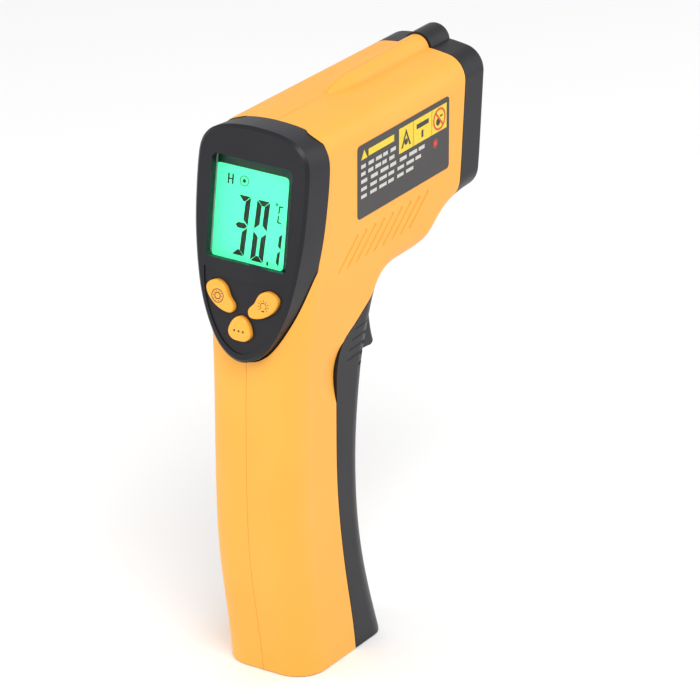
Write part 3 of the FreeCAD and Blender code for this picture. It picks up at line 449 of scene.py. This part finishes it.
def label_signs():
    """Generic shapes on the three coloured blocks."""
    peak = [(22.4, 13.8), (23.2, 13.8), (24.9, 17.6), (26.6, 13.8), (27.4, 13.8), (24.9, 19.0)]
    dark = [peak, disc(24.9, 15.2, 0.9),
            rectangle(30.4, 36.8, 17.0, 18.4), rectangle(33.0, 34.0, 13.8, 15.9),
            disc(41.9, 15.6, 1.1), rectangle(42.8, 44.2, 16.8, 17.3)]
    solid_piece("label_signs", dark, on_block, INK, LABEL_DARK, "case")
    red = ring(42.5, 16.3, 2.7, 3.3, steps=36)
    red.append([(40.3, 18.3), (40.7, 18.7), (44.7, 14.3), (44.3, 13.9)])
    solid_piece("label_ring", red, on_sign, INK, LABEL_RED, "case")
    dot = [disc(40.4, 9.6, 0.8)] + ring(40.4, 9.6, 1.1, 1.3, steps=20)
    solid_piece("label_dot", dot, on_label, INK, LABEL_RED, "case")


# ---------------------------------------------------------------- painted rib shade on the door

DOOR_LINES = ((7.2, 99.6), (5.6, 96.7), (4.2, 94.0), (3.4, 91.2))
LINE_SLOPE = 0.06
LINE_HALF = 0.28


def on_door(side):
    """Maps (forward, up) millimetres onto one side of the battery door."""
    door = NODES["battery_door"]
    inverse = door.matrix_world.inverted()
    inward = inverse.to_3x3() @ Vector((0.0, -side, 0.0))

    def to_world(a, b, height):
        start = inverse @ Vector((a * MM, side * 0.03, b * MM))
        found, place, _, _ = door.ray_cast(start, inward)
        point = door.matrix_world @ place if found else Vector((a * MM, side * 0.0145, b * MM))
        return point + Vector((0.0, side * (height + 0.01) * MM, 0.0))
    return to_world


def door_rib_shade_lines():
    """Four thin dark lines of painted shade laid on each side of the battery door, standing in for
    the shadows of the door's ribs.
    """
    # Each strip is painted shadow, not a cut in the door.
    for side, name in ((-1, "right_rib_shade_lines"), (1, "left_rib_shade_lines")):
        quads = []
        for x, z in DOOR_LINES:
            for step in range(8):
                low, high = -4.0 + step, -3.0 + step
                z_low, z_high = z + LINE_SLOPE * low, z + LINE_SLOPE * high
                quad = [(x + low, z_low - LINE_HALF), (x + high, z_high - LINE_HALF),
                        (x + high, z_high + LINE_HALF), (x + low, z_low + LINE_HALF)]
                quads.append(quad if side < 0 else quad[::-1])
        solid_piece(name, quads, on_door(side), 0.02, RIB_SHADE, "door")


# ---------------------------------------------------------------- stage

def floor():
    """Plain pale floor with a soft matt surface."""
    mesh = bpy.data.meshes.new("floor")
    side, level = 3.0, -0.0003
    mesh.from_pydata([(-side, -side, level), (side, -side, level),
                      (side, side, level), (-side, side, level)], [], [(0, 1, 2, 3)])
    piece = bpy.data.objects.new("floor", mesh)
    bpy.context.scene.collection.objects.link(piece)
    material, shader = new_material("pale_floor", (0.97, 0.97, 0.97), 0.9)
    noise = object_noise(material, 3.0)
    vary_color(material, shader, noise, (0.96, 0.96, 0.96), (0.975, 0.975, 0.975))
    mesh.materials.append(material)


def area_light(name, place, target, width, height, energy, color=(1.0, 1.0, 1.0)):
    """Soft rectangular light aimed at a point."""
    data = bpy.data.lights.new(name, "AREA")
    data.shape = "RECTANGLE"
    data.size = width
    data.size_y = height
    data.energy = energy
    data.color = color
    lamp = bpy.data.objects.new(name, data)
    lamp.location = place
    lamp.rotation_euler = (Vector(target) - Vector(place)).to_track_quat("-Z", "Y").to_euler()
    bpy.context.scene.collection.objects.link(lamp)


def lights():
    """White surroundings with a large key light and two side lights."""
    world = bpy.data.worlds.new("studio")
    world.use_nodes = True
    background = world.node_tree.nodes["Background"]
    background.inputs["Color"].default_value = (1.0, 1.0, 1.0, 1.0)
    background.inputs["Strength"].default_value = 0.76
    bpy.context.scene.world = world
    middle = (0.0, 0.0, 0.09)
    area_light("key", (-0.45, -0.45, 0.95), middle, 0.5, 0.5, 5.6)
    area_light("left_side", (-0.6, 0.7, 0.35), middle, 0.3, 0.7, 2.0)
    area_light("front_right", (0.75, -0.5, 0.45), middle, 0.35, 0.8, 1.2)


def camera():
    """Long lens, above and behind the right-hand side."""
    right = Vector((0.5443, -0.8389, -0.0004))
    up = Vector((0.3335, 0.2159, 0.9177))
    back = Vector((-0.7698, -0.4996, 0.3973))
    data = bpy.data.cameras.new("camera")
    data.sensor_width = 36.0
    data.lens = 257.14
    data.clip_start = 0.05
    data.clip_end = 20.0
    eye = bpy.data.objects.new("camera", data)
    turn = Matrix((right, up, back)).transposed().to_4x4()
    eye.matrix_world = Matrix.Translation(Vector((-1067.0, -707.8, 644.9)) * MM) @ turn
    bpy.context.scene.collection.objects.link(eye)
    bpy.context.scene.camera = eye


paint_nodes()
display_content()
display_mask_and_shade()
key_signs()
label_print()
label_signs()
door_rib_shade_lines()
floor()
lights()
camera()
bpy.context.scene.view_settings.view_transform = "Standard"
